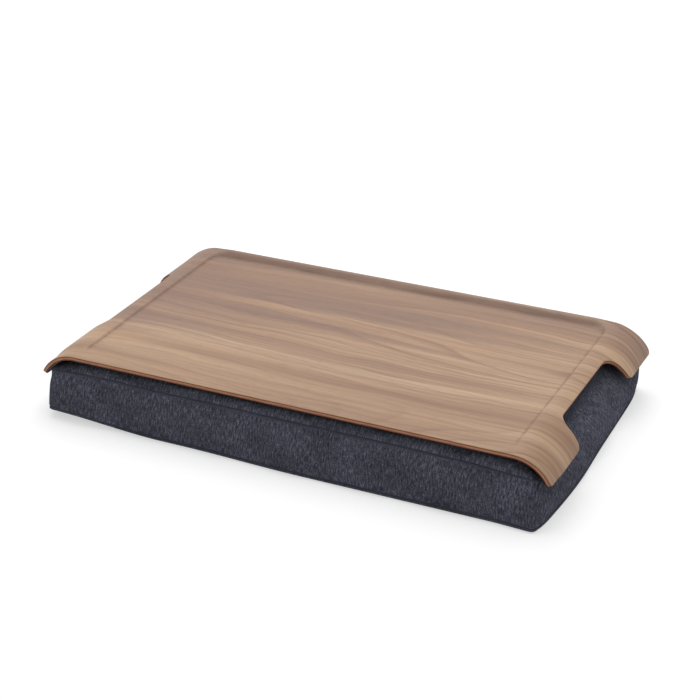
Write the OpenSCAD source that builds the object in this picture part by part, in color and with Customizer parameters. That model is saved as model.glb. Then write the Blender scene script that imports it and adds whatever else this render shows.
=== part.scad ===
// Lap tray: a moulded plywood tray with rolled-down ends on a boxed bead cushion.
// Millimetres, +Z up. The origin is on the floor, in the middle of the object's plan.
// The front, plain edge of the tray faces -Y and its raised rear rim faces +Y.

/* [Tray] */
// Width of the tray over its rolled ends
tray_w = 568; // [500:1:620]
// Depth of the tray, front edge to rear edge
tray_d = 312; // [290:1:340]
// Thickness of the moulded plywood
tray_t = 4.8; // [4:0.1:6]
// Height of the flat tray surface above the floor
tray_z = 66; // [64:0.5:72]
// Outer radius of the rolled-down ends
end_r = 44.6; // [42:0.1:50]
// Angle that the rolled-down ends turn through
end_sweep = 65; // [60:1:70]
// Height of the step at the side grooves
side_step = 1.6; // [0.8:0.1:2]
// Height of the rolled rear rim above the flat surface
rim_h = 5; // [4:0.1:7]
// Width of the rolled rear rim
rim_w = 14.5; // [13:0.5:20]
// Plan radius of the recess's rear corners
recess_r = 16; // [12:1:24]
// Radius of the ends' corners at the front edge
front_corner_r = 4; // [2:0.5:8]
// Radius of the ends' corners at the rear edge
rear_corner_r = 7; // [2:0.5:10]

/* [Hand notches] */
// Width of a hand notch at the lower edge of the end
notch_w = 163; // [140:1:180]
// Width of a hand notch at its straight inner edge
notch_inner_w = 148; // [130:1:160]
// Angle round the rolled end at which the notch begins
notch_angle = 21; // [15:0.5:30]
// Corner radius at the inner edge of a notch
notch_inner_r = 17; // [10:1:22]
// Corner radius where a notch meets the lower edge
notch_outer_r = 8; // [4:1:10]

/* [Cushion] */
// How far the cushion's lower corners stand in from each end of the tray
end_inset = 10.5; // [10.5:0.5:20]
// How far the cushion stands out in front of the tray
front_overhang = 22; // [16:1:24]
// How far the cushion's rear stands in from the tray's rear edge
rear_inset = 6; // [6:1:20]
// Height of the lower seam
seam_low_z = 4; // [3:0.5:6]
// Height of the upper seam at the front right corner
seam_high_z = 45; // [43:0.5:46]
// Thickness of the cover cloth
cloth_t = 1; // [0.6:0.1:1.4]
// How far the middle of each end bulges at the floor
end_bulge = 7; // [0:0.5:8]
// Distance over which the top rises from its seam to its flat crown
crown_run = 40; // [30:1:50]

/* [Zip] */
// Length of the zip between its end stops
zip_len = 500; // [400:10:500]
// Length of the pull tab
pull_len = 20; // [14:1:22]

/* [Hidden] */

// ---- plan: the cushion's front and the tray's rear edge are the plan's two limits ----
tray_y = front_overhang / 2;                        // the tray's centre
plan_d = tray_d + front_overhang;
wall_levels = [0, 0.2, 0.42, 0.63, 0.82, 1];        // rings of the boxing, 0 lower, 1 upper seam
front_bulge = 2.5;
front_lean = 16;                                    // the front leans back this far to its seam
left_flare = 4;                                     // its upper left corner leans out this far
function front_out(t) = front_bulge * sin(180 * t) - front_lean * t;
cushion_w = tray_w - 2 * end_inset;
cushion_d = plan_d - rear_inset;
cushion_x = 3;                                      // the cushion's centre
cushion_y = -plan_d / 2 + cushion_d / 2 + max([for (t = wall_levels) front_out(t)]);

// ---- tray surface, written along s, the distance from the centre line round the end ----
arc_x = tray_w / 2 - end_r * sin(end_sweep);        // where the flat turns into the rolled end
arc_len = end_r * end_sweep * PI / 180;
groove_w = 5;                                       // width of the side step
fade_from = 12;                                     // the step starts this far from the front edge
fade_len = 18;
rim_rise = 11;                                      // depth of the slope up to the rim's crest
rim_fall = 1.5;                                     // how far the rim rolls down again
rim_end_loss = 0.4;                                 // part of its height lost round the rolled ends
rim_end_run = 25;                                   // and the distance over which it is lost
tray_front = tray_y - tray_d / 2;
tray_rear = tray_y + tray_d / 2;

function ease(q) = let (c = min(1, max(0, q))) c * c * (3 - 2 * c);
// Rise of the surface above the flat recess. The recess has rounded rear corners: reach is the
// distance outside its outline, and back is 0 beside it, 1 behind it and between them at a corner.
function rise(s, y) =
    let (
        dx = abs(s) - (arc_x - groove_w - recess_r),
        dy = y - (tray_rear - rim_w - recess_r),
        at_corner = dx > 0 && dy > 0,
        back = at_corner ? ease(dy / (dx + dy)) : dy > dx ? 1 : 0,
        reach = (at_corner ? norm([dx, dy]) : max(dx, dy)) - recess_r,
        fade = ease((y - tray_front - fade_from) / fade_len),
        roll = max(0, (y - tray_rear + rim_w - rim_rise) / (rim_w - rim_rise)),
        crest = rim_h * (1 - rim_end_loss * ease((abs(s) - arc_x) / rim_end_run)))
    (side_step * fade * (1 - back) + crest * back)
    * ease(reach / (groove_w + (rim_rise - groove_w) * back))
    - rim_fall * back * roll * roll;
function bend(s) = max(0, abs(s) - arc_x) / end_r * 180 / PI;
function tray_top(s, y) =
    let (a = bend(s), r = end_r + rise(s, y), side = s < 0 ? -1 : 1)
    a == 0 ? [s, y, tray_z + rise(s, y)]
    : [side * (arc_x + r * sin(a)), y, tray_z - end_r + r * cos(a)];
function unit(v) = v / norm(v);
function tray_normal(s, y, h = 0.05) = unit(cross(
    tray_top(s + h, y) - tray_top(s - h, y), tray_top(s, y + h) - tray_top(s, y - h)));
function tray_point(s, y, depth) = tray_top(s, y) - depth * tray_normal(s, y);

// Stations across and along the tray: close together only where the surface bends.
groove_steps = [0, 0.25, 0.5, 0.75, 1];
corner_steps = [1, 0.6, 0.28];                      // on the recess's rear corners
arc_steps = 8;
s_half = concat(
    [for (q = corner_steps) arc_x - groove_w - recess_r * q],
    [for (q = groove_steps) arc_x - groove_w * (1 - q)],
    [for (i = [1:arc_steps]) arc_x + arc_len * i / arc_steps]);
s_list = concat([for (i = [len(s_half) - 1:-1:0]) -s_half[i]], s_half);
y_list = concat(
    [tray_front],
    [for (q = [0, 0.3, 0.7, 1]) tray_front + fade_from + fade_len * q],
    [for (q = corner_steps) tray_rear - rim_w - recess_r * q],
    [for (q = [0, 0.25, 0.5, 0.75, 1]) tray_rear - rim_w + rim_rise * q],
    [for (q = [0.5, 1]) tray_rear - rim_w + rim_rise + (rim_w - rim_rise) * q]);

// Plies from the top down: the depth at which each starts
ply_depths = [0, 0.6, 1.4, 3.4, 4.2, 4.8] * tray_t / 4.8;

// ---- hand notch outline in developed form: [distance round the end, y] ----
notch_y = tray_y + 5;
notch_s = notch_angle / 180 * PI * end_r;
notch_slope = atan((notch_w - notch_inner_w) / 2 / (arc_len - notch_s));
cut_past = 12;                                      // the cutter runs on past the lower edge

// Arc points of a fillet of radius r about centre c, from angle a0 to a1
function fillet(c, r, a0, a1, n = 5) = [for (i = [0:n]) let (a = a0 + (a1 - a0) * i / n)
    c + r * [cos(a), sin(a)]];
notch_inner_c = [notch_s + notch_inner_r,
    notch_inner_w / 2 + notch_inner_r * tan(notch_slope)
    - notch_inner_r / cos(notch_slope)];
notch_outer_c = [arc_len - notch_outer_r,
    notch_w / 2 - notch_outer_r * tan(notch_slope) + notch_outer_r / cos(notch_slope)];
notch_half = concat(
    fillet(notch_inner_c, notch_inner_r, 180, 90 + notch_slope),
    fillet(notch_outer_c, notch_outer_r, -90 + notch_slope, 0),
    [[arc_len + cut_past, notch_outer_c[1]]]);
notch_outline = concat(
    [for (p = notch_half) p],
    [for (i = [len(notch_half) - 1:-1:0]) [notch_half[i][0], -notch_half[i][1]]]);
function plan_x(s) = s > arc_len ? arc_x + end_r * sin(end_sweep) + s - arc_len
    : arc_x + end_r * sin(s / end_r * 180 / PI);
// What is cut off a corner of radius r: [distance past the lower edge, distance in from the side]
function corner_waste(r) = concat(
    fillet([-r, r], r, 0, -90),
    [[-r, -cut_past], [cut_past, -cut_past], [cut_past, r]]);
corner_cut_t = 16;                                  // depth of the corner cutter, across the plies

// ---- cushion surface: rings from the base up to the crown, stations round the plan ----
patch_t = 1;                                        // thickness of a fastener patch
patch_gap = 0.2;                                    // between the hook and the loop patches
top_z = tray_z - tray_t - 2 * patch_t - patch_gap;  // flat crown under the tray
crown_levels = [0.14, 0.36, 0.65, 1];               // rings of the top, as shares of crown_run
zip_ring = 4;                                       // rings 4 and 5 bound the zip's slot
seam_ring = 2;
high_ring = seam_ring + len(wall_levels) - 1;
last_ring = high_ring + len(crown_levels);
corner_r = 5;
corner_n = 2;
front_n = 12;
end_shares = [-1, -0.94, -0.7, -0.4, 0, 0.4, 0.7, 0.94];    // stations along an end, front to rear
end_n = len(end_shares);
end_taper = 3.5;                                    // the corners lean in from lower to upper seam
end_fall = 2;                                       // the ends' bulge lost up to the upper seam
rear_fall = 2;                                      // the rear leans in this far to its seam
end_draw_in = 28;                                   // upper end seam pulled in under the tray
left_hold = 0.62;                                   // its half-depth share from the left corner
end_seam_lift = 8;
front_seam_crown = 5;
corner_lift = 7;                                    // the front left corner stands off the floor
corner_lift_run = 140;
upper_lift_share = 0.5;                            // part of the lift that reaches the upper seam
crown_end_share = 1.4;                              // the top rises more slowly from the ends
crown_corner_growth = 12;                           // its rings' corners grow rounder inwards
crown_bulge_loss = 0.6;                             // part of the ends' bulge that it loses

// A station is [x share, y share, corner angle or undef, side: 0 front, 1 right, 2 rear, 3 left]
front_stations = [for (i = [0:front_n - 1]) [-1 + 2 * i / front_n, -1, undef, 0]];
right_stations = [for (e = end_shares) [1, e, undef, 1]];
rear_stations = [for (i = [0:front_n - 1]) [1 - 2 * i / front_n, 1, undef, 2]];
left_stations = [for (e = end_shares) [-1, -e, undef, 3]];
function corner_stations(sx, sy, a0) = [for (i = [0:corner_n - 1])
    [sx, sy, a0 + 90 * i / corner_n, -1]];
stations = concat(
    front_stations, corner_stations(1, -1, -90),
    right_stations, corner_stations(1, 1, 0),
    rear_stations, corner_stations(-1, 1, 90),
    left_stations, corner_stations(-1, -1, 180));
ring_n = len(stations);
front_right_seam = front_n + corner_n / 2;
rear_first = front_n + end_n + 2 * corner_n;
rear_last = rear_first + front_n;
front_left_seam = ring_n - corner_n / 2;

// Shape of one ring: [half width, half depth, corner radius, z, front bulge, end bulge, end lift,
// rise of the front seam's middle, share of the corner's lift, share of the front's lean, end's
// draw-in]
function base_ring(inset, z, lift) =
    [cushion_w / 2 - inset, cushion_d / 2 - inset, corner_r, z, 0, end_bulge, 0, 0, lift, 0, 0];
function wall_ring(t) = [
    cushion_w / 2 - end_taper * t, cushion_d / 2 - rear_fall * pow(t, 6), corner_r,
    seam_low_z + (seam_high_z - seam_low_z) * t,
    front_bulge * sin(180 * t), end_bulge + sin(180 * t) - end_fall * t,
    end_seam_lift * pow(t, 4), front_seam_crown * pow(t, 2), 1 - (1 - upper_lift_share) * t, t,
    end_draw_in * pow(t, 4)];
function crown_ring(q) = let (w = wall_ring(1), f = 1 - pow(1 - q, 2)) [
    w[0] - crown_end_share * crown_run * q, w[1] - crown_run * q, w[2] + crown_corner_growth * q,
    w[3] + (top_z - w[3]) * f, 0, w[5] * (1 - crown_bulge_loss * q),
    w[6] * (1 - f), w[7] * (1 - f), w[8] * (1 - f), w[9] * (1 - f),
    w[10] * (1 - crown_bulge_loss * q)];
rings = concat(
    [base_ring(6, 0, 0), base_ring(1, 1, 1)],
    [for (t = wall_levels) wall_ring(t)],
    [for (q = crown_levels) crown_ring(q)]);
// Direction in which cloth thickness is measured on each ring: [inwards, upwards]. At the upper
// seam it also goes down, which keeps the bag clear of the top panel.
inward = concat(
    [[0, 1], [0.7, 0.7]],
    [for (t = wall_levels) [1, t < 1 ? 0 : -0.5]],
    [for (q = crown_levels) [0.5 * (1 - q), -0.5 - 0.5 * q]]);

// Point of the cushion's skin at ring j, station i, at a depth below the surface
function skin(j, i, depth) =
    let (
        r = rings[j],
        st = stations[(i + ring_n) % ring_n],
        hx = r[0] - depth * inward[j][0],
        hy = r[1] - depth * inward[j][0],
        cr = r[2] - depth * inward[j][0],
        along_x = 1 - pow(st[0], 6),
        along_y = 1 - pow(st[1], 8),
        drawn = st[3] == 3 && st[1] < 0 ? ease((1 + st[1]) / left_hold) : along_y,
        lean = r[9] * (1 - st[1]) / 2 * [-left_flare * (1 - st[0]) / 2, front_lean],
        end_out = r[5] * along_y - r[10] * drawn,
        out = st[3] == 0 ? [0, -r[4] * along_x]
            : st[3] == 1 ? [end_out, 0] : st[3] == 3 ? [-end_out, 0] : [0, 0],
        corner = is_undef(st[2]) ? [0, 0] : cr * [cos(st[2]), sin(st[2])],
        flat_x = st[0] * (hx - cr),
        flat_y = st[1] * (hy - cr),
        plan = lean + (!is_undef(st[2]) ? [flat_x, flat_y] + corner
            : st[3] % 2 == 0 ? [flat_x, st[1] * hy] + out : [st[0] * hx, flat_y] + out),
        lift_x = ease(1 - (plan[0] + cushion_w / 2) / corner_lift_run),
        lift_y = ease(1 - (plan[1] + cushion_d / 2) / corner_lift_run),
        z = r[3] + (st[3] == 1 || st[3] == 3 ? r[6] * pow(drawn, 2) : 0)
            + (st[3] == 0 ? r[7] * along_x : 0)
            + corner_lift * r[8] * lift_x * lift_y
            + depth * inward[j][1])
    [plan[0] + cushion_x, plan[1] + cushion_y, z];

// ---- zip ----
zip_low = skin(zip_ring, rear_first, 0);            // lower edge of the slot
zip_high = skin(zip_ring + 1, rear_first, 0);       // upper edge of the slot
zip_z = (zip_low[2] + zip_high[2]) / 2;
tape_t = 0.6;
tape_w = 10;
coil_r = 1.1;
coil_gap = 0.8;                                     // room for the slider's post
tape_gap = 0.6;                                     // between the tapes and the cloth
tape_y = zip_low[1] - cloth_t - tape_t - tape_gap;  // inner face of the tapes
coil_y = tape_y + tape_t;
zip_half = zip_len / 2;
tape_half = zip_low[0] - cushion_x - 4;
slider_gap = 0.3;                                   // between the slider and what it runs on
end_room = 8;                                       // slider's centre to the end of the coils
slider_x = -zip_half + end_room;                    // the zip is shut
stop = [3, 1.6, 2.4];
bag_depth = 3.6;                                    // the inner bag lies this deep under the cover
bag_t = 0.5;
filling_depth = 4.3;
slider_l = 11;
slider_w = 7.6;
slider_nose_w = 5.2;
flange_t = 0.7;
plate_t = 1.1;
plate_y = coil_y + coil_r + slider_gap;             // inner face of the slider's front plate
back_plate_t = 0.7;
post_l = 3;
post_t = 0.5;
bar_r = 0.7;
bar_y = plate_y + plate_t + 1.7;
bar_gap = 4.6;                                      // between the bridge's two legs
leg_l = 1.4;
tab_t = 1.2;
tab_w = 4.2;
eye_r = 1.45;
eye_bore_r = bar_r + 0.08;

// ---- fastener patches ----
patch = [70, 28];
patch_places = [for (sx = [-1, 1], sy = [-1, 1]) [sx * 170, sy * 90 + tray_y]];

// ---- colours ----
walnut = [0.62, 0.45, 0.32];
dark_ply = [0.36, 0.17, 0.10];
core_wood = [0.72, 0.47, 0.29];
backing_wood = [0.30, 0.20, 0.14];
cloth = [0.20, 0.22, 0.27];
base_cloth = [0.09, 0.10, 0.13];
lining = [0.85, 0.85, 0.82];
beads = [0.93, 0.93, 0.91];
fastener = [0.07, 0.07, 0.08];
metal = [0.55, 0.56, 0.58];

// A solid between two matching grids of points: grid[row][column]. Columns turn right and rows
// turn up when the outer grid is seen from outside. The columns may close into a ring, and then
// either end of the rows may close over with a flat fan on both grids.
module shell(outer, inner, ring = false, cap_first = false, cap_last = false) {
    nv = len(outer);
    nu = len(outer[0]);
    n = nu * nv;
    last = ring ? nu : nu - 1;
    points = concat([for (row = outer) each row], [for (row = inner) each row],
        [middle(outer[0]), middle(inner[0]), middle(outer[nv - 1]), middle(inner[nv - 1])]);
    function o(v, u) = v * nu + u % nu;
    function k(v, u) = n + o(v, u);
    cells = [for (v = [0:nv - 2], u = [0:last - 1]) [v, u]];
    faces = concat(
        [for (c = cells) [o(c[0], c[1]), o(c[0] + 1, c[1]), o(c[0] + 1, c[1] + 1)]],
        [for (c = cells) [o(c[0], c[1]), o(c[0] + 1, c[1] + 1), o(c[0], c[1] + 1)]],
        [for (c = cells) [k(c[0], c[1]), k(c[0] + 1, c[1] + 1), k(c[0] + 1, c[1])]],
        [for (c = cells) [k(c[0], c[1]), k(c[0], c[1] + 1), k(c[0] + 1, c[1] + 1)]],
        ring ? [] : [for (v = [0:nv - 2]) [o(v + 1, 0), o(v, 0), k(v, 0), k(v + 1, 0)]],
        ring ? [] : [for (v = [0:nv - 2])
            [o(v, nu - 1), o(v + 1, nu - 1), k(v + 1, nu - 1), k(v, nu - 1)]],
        cap_first ? [] : [for (u = [0:last - 1]) [o(0, u), o(0, u + 1), k(0, u + 1), k(0, u)]],
        cap_last ? [] : [for (u = [0:last - 1])
            [o(nv - 1, u + 1), o(nv - 1, u), k(nv - 1, u), k(nv - 1, u + 1)]],
        cap_first ? fan(2 * n, 0, nu, 1) : [], cap_first ? fan(2 * n + 1, n, nu, 0) : [],
        cap_last ? fan(2 * n + 2, n - nu, nu, 0) : [],
        cap_last ? fan(2 * n + 3, 2 * n - nu, nu, 1) : []);
    polyhedron(points, faces, convexity = 8);
}

// A closed solid inside one stack of rings
module stack(outer) {
    nv = len(outer);
    nu = len(outer[0]);
    function o(v, u) = v * nu + u % nu;
    cells = [for (v = [0:nv - 2], u = [0:nu - 1]) [v, u]];
    polyhedron(
        concat([for (row = outer) each row], [middle(outer[0]), middle(outer[nv - 1])]),
        concat(
            [for (c = cells) [o(c[0], c[1]), o(c[0] + 1, c[1]), o(c[0] + 1, c[1] + 1)]],
            [for (c = cells) [o(c[0], c[1]), o(c[0] + 1, c[1] + 1), o(c[0], c[1] + 1)]],
            fan(nv * nu, 0, nu, 1), fan(nv * nu + 1, (nv - 1) * nu, nu, 0)),
        convexity = 8);
}

// Mean of a row's points, and the triangles that join a row of nu points to one point
function middle(row) = [for (axis = [0:2]) [for (p = row) p[axis] / len(row)] * [for (p = row) 1]];
function fan(centre, first, nu, forward) = [for (u = [0:nu - 1])
    forward == 1 ? [centre, first + u, first + (u + 1) % nu]
    : [centre, first + (u + 1) % nu, first + u]];

// Rings j0 to j1 of the cushion's skin at a depth, whole or between two stations
function skin_rings(j0, j1, depth, i0 = 0, i1 = ring_n - 1) =
    [for (j = [j0:j1]) [for (i = [i0:i1]) skin(j, i, depth)]];

module notch_cutter() {
    for (side = [0, 1])
        mirror([side, 0, 0])
            linear_extrude(height = tray_z + 20)
                polygon([for (p = notch_outline) [plan_x(p[0]), notch_y + p[1]]]);
}

// Rounds the corners of both ends, square to the ends' lower edges
module corner_cutter() {
    for (side = [0, 1])
        mirror([side, 0, 0])
            translate([plan_x(arc_len), 0, tray_z - end_r + end_r * cos(end_sweep)])
                rotate([0, end_sweep, 0])
                    translate([0, 0, -corner_cut_t / 2])
                        linear_extrude(height = corner_cut_t) {
                            polygon([for (p = corner_waste(front_corner_r)) [p[0], tray_front + p[1]]]);
                            polygon([for (p = corner_waste(rear_corner_r)) [p[0], tray_rear - p[1]]]);
                        }
}

// One ply of the tray, between two depths below the top surface
module ply(index) {
    difference() {
        shell(
            [for (y = y_list) [for (s = s_list) tray_point(s, y, ply_depths[index])]],
            [for (y = y_list) [for (s = s_list) tray_point(s, y, ply_depths[index + 1])]]);
        notch_cutter();
        corner_cutter();
    }
}

module top_face_veneer() { color(walnut) ply(0); }
module upper_cross_ply() { color(dark_ply) ply(1); }
module core_ply() { color(core_wood) ply(2); }
module lower_cross_ply() { color(dark_ply) ply(3); }
module underside_veneer() { color(backing_wood) ply(4); }

// Four rounded patches on one level
module patches(z) {
    corner = 4;
    for (p = patch_places)
        translate([p[0], p[1], z])
            linear_extrude(height = patch_t) {
                square([patch[0] - 2 * corner, patch[1]], center = true);
                square([patch[0], patch[1] - 2 * corner], center = true);
                for (sx = [-1, 1], sy = [-1, 1])
                    translate([sx * (patch[0] / 2 - corner), sy * (patch[1] / 2 - corner)])
                        circle(r = corner, $fn = 32);
            }
}

module tray_hook_patches() { color(fastener) patches(tray_z - tray_t - patch_t); }
module cushion_loop_patches() { color(fastener) patches(top_z); }

module cover_top_panel() {
    color(cloth)
        shell(skin_rings(high_ring, last_ring, 0), skin_rings(high_ring, last_ring, cloth_t),
            ring = true, cap_last = true);
}

module cover_bottom_panel() {
    color(base_cloth)
        shell(skin_rings(0, seam_ring, 0), skin_rings(0, seam_ring, cloth_t),
            ring = true, cap_first = true);
}

// Part of the boxing between two rings and two stations
module boxing(j0, j1, i0, i1) {
    color(cloth)
        shell(skin_rings(j0, j1, 0, i0, i1), skin_rings(j0, j1, cloth_t, i0, i1));
}

module cover_front_panel() { boxing(seam_ring, high_ring, front_left_seam - ring_n, front_right_seam); }
module cover_right_panel() { boxing(seam_ring, high_ring, front_right_seam, rear_first); }
module cover_left_panel() { boxing(seam_ring, high_ring, rear_last, front_left_seam); }
module cover_rear_lower_panel() { boxing(seam_ring, zip_ring, rear_first, rear_last); }
module cover_rear_upper_panel() { boxing(zip_ring + 1, high_ring, rear_first, rear_last); }

// The bag is two cloths sewn together round the middle of the walls
module inner_bag_lower() {
    color(lining)
        shell(skin_rings(0, zip_ring, bag_depth), skin_rings(0, zip_ring, bag_depth + bag_t),
            ring = true, cap_first = true);
}

module inner_bag_upper() {
    color(lining)
        shell(skin_rings(zip_ring, last_ring, bag_depth),
            skin_rings(zip_ring, last_ring, bag_depth + bag_t),
            ring = true, cap_last = true);
}

module bead_filling() {
    color(beads) stack(skin_rings(0, last_ring, filling_depth));
}

// The upper tape lies behind the upper panel and ends short of the centre line
module zip_tape() {
    translate([-tape_half, tape_y, coil_gap / 2])
        cube([2 * tape_half, tape_t, tape_w - coil_gap / 2]);
}

// One row of the coil, half round, on the outer face of its tape
module zip_coil() {
    intersection() {
        translate([-zip_half, coil_y, coil_gap / 2 + coil_r])
            rotate([0, 90, 0])
                cylinder(h = zip_len, r = coil_r, $fn = 32);
        translate([-zip_len, coil_y, 0])
            cube([2 * zip_len, 2 * coil_r, 3 * coil_r]);
    }
}

module zip_tape_upper() { color(base_cloth) translate([0, 0, zip_z]) zip_tape(); }
module zip_tape_lower() { color(base_cloth) translate([0, 0, zip_z]) mirror([0, 0, 1]) zip_tape(); }
module zip_coil_upper() { color(fastener) translate([0, 0, zip_z]) zip_coil(); }
module zip_coil_lower() { color(fastener) translate([0, 0, zip_z]) mirror([0, 0, 1]) zip_coil(); }

// Two stops at the shut end, one on each row, and one across both rows at the open end
module zip_end_stops() {
    color(metal)
        translate([0, coil_y, zip_z]) {
            for (side = [0, 1])
                mirror([0, 0, side])
                    translate([-zip_half - stop[0], 0, coil_gap / 2])
                        cube(stop);
            translate([zip_half, 0, -coil_gap / 2 - stop[2]])
                cube([stop[0], stop[1], 2 * stop[2] + coil_gap]);
        }
}

// Outline of the slider's plates: a nose that widens to the open end
module slider_plate(thickness) {
    rotate([90, 0, 0])
        linear_extrude(height = thickness, center = true)
            polygon([
                [-slider_l / 2, -slider_nose_w / 2], [0, -slider_w / 2], [slider_l / 2, -slider_w / 2],
                [slider_l / 2, slider_w / 2], [0, slider_w / 2], [-slider_l / 2, slider_nose_w / 2]]);
}

// The slider holds both rows between its plates, joined by a post that runs in the gap, and its
// bridge carries the pull's bar
module zip_slider() {
    back_y = tape_y - slider_gap - back_plate_t;
    leg_y = plate_y + plate_t;
    flange_y = coil_y + slider_gap;
    color(metal)
        translate([slider_x, 0, zip_z]) {
            translate([0, plate_y + plate_t / 2, 0]) slider_plate(plate_t);
            translate([0, back_y + back_plate_t / 2, 0]) slider_plate(back_plate_t);
            translate([-post_l / 2, back_y + back_plate_t / 2, -post_t / 2])
                cube([post_l, plate_y - back_y, post_t]);
            for (side = [0, 1])
                mirror([0, 0, side])
                    translate([0, flange_y, slider_w / 2 - flange_t])
                        cube([slider_l / 2, plate_y - flange_y + plate_t / 2, flange_t]);
            for (side = [-1, 1])
                translate([side * (bar_gap + leg_l) / 2 - leg_l / 2, leg_y - plate_t / 2, -1])
                    cube([leg_l, bar_y + 1 - leg_y + plate_t / 2, 2]);
            translate([-bar_gap / 2 - leg_l / 2, bar_y, 0])
                rotate([0, 90, 0])
                    cylinder(h = bar_gap + leg_l, r = bar_r, $fn = 48);
        }
}

// The pull hangs from the bridge's bar by its rolled eye
module zip_pull_tab() {
    end_w = tab_w + 2;
    color(metal)
        translate([slider_x, bar_y, zip_z])
            difference() {
                union() {
                    rotate([0, 90, 0])
                        cylinder(h = tab_w, r = eye_r, center = true, $fn = 48);
                    rotate([90, 0, 0])
                        linear_extrude(height = tab_t, center = true) {
                            polygon([
                                [-tab_w / 2, -eye_r / 2], [tab_w / 2, -eye_r / 2],
                                [tab_w / 2, -pull_len / 3], [end_w / 2, -pull_len / 2],
                                [end_w / 2, end_w / 2 - pull_len], [-end_w / 2, end_w / 2 - pull_len],
                                [-end_w / 2, -pull_len / 2], [-tab_w / 2, -pull_len / 3]]);
                            translate([0, end_w / 2 - pull_len]) circle(r = end_w / 2, $fn = 48);
                        }
                }
                rotate([0, 90, 0])
                    cylinder(h = 2 * tab_w, r = eye_bore_r, center = true, $fn = 48);
                translate([0, 0, end_w / 2 - pull_len])
                    rotate([90, 0, 0])
                        cylinder(h = 2 * tab_t, r = 1.2, center = true, $fn = 32);
            }
}

top_face_veneer();
upper_cross_ply();
core_ply();
lower_cross_ply();
underside_veneer();
tray_hook_patches();
cover_top_panel();
cover_front_panel();
cover_right_panel();
cover_left_panel();
cover_rear_upper_panel();
cover_rear_lower_panel();
cover_bottom_panel();
cushion_loop_patches();
inner_bag_lower();
inner_bag_upper();
bead_filling();
zip_tape_upper();
zip_tape_lower();
zip_coil_upper();
zip_coil_lower();
zip_end_stops();
zip_slider();
zip_pull_tab();
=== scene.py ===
"""Lap tray: a walnut-faced moulded tray on a boxed bead cushion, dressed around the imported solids.

Lengths are millimetres in the code and become metres where a mesh is made."""

import math

import bmesh
import bpy
import numpy as np
from mathutils import Matrix, Vector


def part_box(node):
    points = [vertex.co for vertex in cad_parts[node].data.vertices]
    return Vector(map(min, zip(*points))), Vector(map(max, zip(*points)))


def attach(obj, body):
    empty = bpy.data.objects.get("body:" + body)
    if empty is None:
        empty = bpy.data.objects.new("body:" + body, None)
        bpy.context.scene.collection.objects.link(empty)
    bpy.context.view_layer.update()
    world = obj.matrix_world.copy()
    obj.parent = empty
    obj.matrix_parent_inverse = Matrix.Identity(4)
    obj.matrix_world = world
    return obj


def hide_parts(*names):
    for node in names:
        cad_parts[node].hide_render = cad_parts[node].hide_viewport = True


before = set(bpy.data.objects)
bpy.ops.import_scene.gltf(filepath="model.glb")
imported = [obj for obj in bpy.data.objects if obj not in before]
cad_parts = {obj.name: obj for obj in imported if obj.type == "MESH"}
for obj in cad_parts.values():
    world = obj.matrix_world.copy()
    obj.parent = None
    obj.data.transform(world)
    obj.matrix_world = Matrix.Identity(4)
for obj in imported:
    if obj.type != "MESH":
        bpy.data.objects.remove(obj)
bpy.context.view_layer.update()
MM = 0.001


# ---- general helpers ----
def ease(q):
    c = np.clip(q, 0, 1)
    return c * c * (3 - 2 * c)


def graded(start, *spans):
    """Values from start through each (end, step), evenly spaced inside a span."""
    values = [start]
    for end, step in spans:
        count = max(1, round(abs(end - values[-1]) / step))
        values += list(np.linspace(values[-1], end, count + 1)[1:])
    return np.array(values)


def make_piece(name, points, faces, uvs=None, face_slots=None):
    """A mesh object from points in millimetres, with a UV map in metres where uvs is given."""
    mesh = bpy.data.meshes.new(name)
    mesh.from_pydata([tuple(p * MM) for p in points], [], [tuple(f) for f in faces])
    mesh.validate()
    if uvs is not None:
        layer = mesh.uv_layers.new(name="cloth")
        corners = np.empty(len(mesh.loops), np.int32)
        mesh.loops.foreach_get("vertex_index", corners)
        layer.data.foreach_set("uv", (np.asarray(uvs)[corners] * MM).astype(np.float32).ravel())
    if face_slots is not None:
        mesh.polygons.foreach_set("material_index", np.asarray(face_slots, np.int32))
    mesh.polygons.foreach_set("use_smooth", [True] * len(mesh.polygons))
    piece = bpy.data.objects.new(name, mesh)
    bpy.context.scene.collection.objects.link(piece)
    return piece


def point_value(piece, name, values):
    """A number for each point of a mesh, for its material to read."""
    attribute = piece.data.attributes.new(name, "FLOAT", "POINT")
    attribute.data.foreach_set("value", np.asarray(values, np.float32))


def wear(piece, *materials):
    piece.data.materials.clear()
    for material in materials:
        piece.data.materials.append(material)


def linear(r, g, b):
    """A colour given as 0 to 255 screen values, as the shader's linear values."""
    return tuple(((c / 255 + 0.055) / 1.055) ** 2.4 for c in (r, g, b)) + (1,)


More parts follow.
